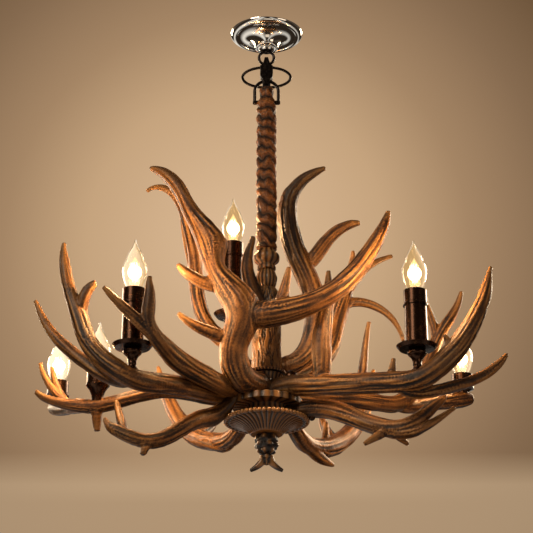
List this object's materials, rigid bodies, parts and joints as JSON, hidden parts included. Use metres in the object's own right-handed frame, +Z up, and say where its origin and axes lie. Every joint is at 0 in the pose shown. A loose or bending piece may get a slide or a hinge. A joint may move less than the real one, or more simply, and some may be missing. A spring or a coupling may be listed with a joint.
{
  "type": "antler chandelier",
  "caption": "Hanging chandelier of branched cast antlers round a turned hub, with candle-style lamps, a wrapped stem, a link chain and a round canopy.",
  "frame": {"origin": "centre of the canopy on the ceiling plane; the light hangs to -Z", "axes": "+Z up into the ceiling, -Y towards the viewer of the picture, +X to the viewer's right"},
  "size_m": [0.6907, 0.4671, 0.721],
  "materials": {
    "zinc_steel": "zinc-plated steel, never seen in use",
    "chrome": "polished nickel or chrome",
    "black_iron": "blackened forged iron, satin",
    "wrapped_leather": "twisted bark-brown wrap, satin",
    "carved_resin": "cast resin, antique brown with rubbed highlights",
    "antler_resin": "cast resin antler, umber grain with paler tips",
    "dark_bronze": "oil-rubbed bronze, satin",
    "brass": "screw shell of the bulb",
    "socket_plastic": "moulded lamp socket",
    "clear_glass": "clear candle bulb"
  },
  "bodies": {
    "ceiling": {"crossbar": "zinc_steel", "nipple": "zinc_steel", "lock_nut": "zinc_steel", "canopy": "chrome", "canopy_boss": "chrome", "canopy_loop": "black_iron"},
    "hook": {"hook": "black_iron"},
    "ring": {"oval_ring": "black_iron"},
    "shackle": {"shackle_bow": "black_iron", "shackle_pin": "black_iron"},
    "chandelier": {"stem_core": "zinc_steel", "stem_sleeve": "wrapped_leather", "stem_knob": "carved_resin", "stem_acorn": "carved_resin", "column": "carved_resin", "beaded_collar": "carved_resin", "waist": "carved_resin", "bowl": "carved_resin", "finial": "carved_resin", "prongs": "carved_resin", "cap_nuts": "dark_bronze", "antler_front_upper": "antler_resin", "antler_front_left": "antler_resin", "antler_left_lower": "antler_resin", "antler_left": "antler_resin", "antler_left_low": "antler_resin", "antler_right_lower": "antler_resin", "antler_right_low": "antler_resin", "antler_right_rear": "antler_resin", "antler_rear_right_low": "antler_resin", "antler_rear_left_low": "antler_resin", "antler_right_upper": "antler_resin", "antler_right_rear_upper": "antler_resin", "antler_left_rear_upper": "antler_resin", "antler_stem": "antler_resin", "vase_front_left": "dark_bronze", "vase_front_right": "dark_bronze", "vase_rear_upper": "dark_bronze", "tube_front_left": "dark_bronze", "tube_front_right": "dark_bronze", "tube_rear_upper": "dark_bronze", "cup_front_left": "dark_bronze", "cup_front_right": "dark_bronze", "cup_rear_upper": "dark_bronze", "cup_left": "dark_bronze", "cup_rear_left": "dark_bronze", "cup_rear_right": "dark_bronze", "lamp_sockets": "socket_plastic"},
    "bulb_front_left": {"bulb_cap_front_left": "brass", "bulb_glass_front_left": "clear_glass"},
    "bulb_front_right": {"bulb_cap_front_right": "brass", "bulb_glass_front_right": "clear_glass"},
    "bulb_rear_upper": {"bulb_cap_rear_upper": "brass", "bulb_glass_rear_upper": "clear_glass"},
    "bulb_left": {"bulb_cap_left": "brass", "bulb_glass_left": "clear_glass"},
    "bulb_rear_left": {"bulb_cap_rear_left": "brass", "bulb_glass_rear_left": "clear_glass"},
    "bulb_rear_right": {"bulb_cap_rear_right": "brass", "bulb_glass_rear_right": "clear_glass"}
  },
  "joints": [
    {"name": "hook_swing", "type": "hinge", "parent": "ceiling", "child": "hook", "pos_m": [0, 0, -0.0547], "axis": [1, 0, 0], "range_deg": [-25, 25]},
    {"name": "ring_swing", "type": "hinge", "parent": "hook", "child": "ring", "pos_m": [0, 0, -0.0594], "axis": [1, 0, 0], "range_deg": [0, 50]},
    {"name": "shackle_swing", "type": "hinge", "parent": "hook", "child": "shackle", "pos_m": [0, 0, -0.1025], "axis": [0, 1, 0], "range_deg": [-12, 12]},
    {"name": "stem_swing", "type": "hinge", "parent": "shackle", "child": "chandelier", "pos_m": [0, 0, -0.122], "axis": [1, 0, 0], "range_deg": [-20, 20]},
    {"name": "unscrew_front_left", "type": "slide", "parent": "chandelier", "child": "bulb_front_left", "axis": [0, 0, 1], "range_m": [0, 0.03]},
    {"name": "unscrew_front_right", "type": "slide", "parent": "chandelier", "child": "bulb_front_right", "axis": [0, 0, 1], "range_m": [0, 0.03]},
    {"name": "unscrew_rear_upper", "type": "slide", "parent": "chandelier", "child": "bulb_rear_upper", "axis": [0, 0, 1], "range_m": [0, 0.03]},
    {"name": "unscrew_left", "type": "slide", "parent": "chandelier", "child": "bulb_left", "axis": [0, 0, 1], "range_m": [0, 0.03]},
    {"name": "unscrew_rear_left", "type": "slide", "parent": "chandelier", "child": "bulb_rear_left", "axis": [0, 0, 1], "range_m": [0, 0.03]},
    {"name": "unscrew_rear_right", "type": "slide", "parent": "chandelier", "child": "bulb_rear_right", "axis": [0, 0, 1], "range_m": [0, 0.03]}
  ]
}
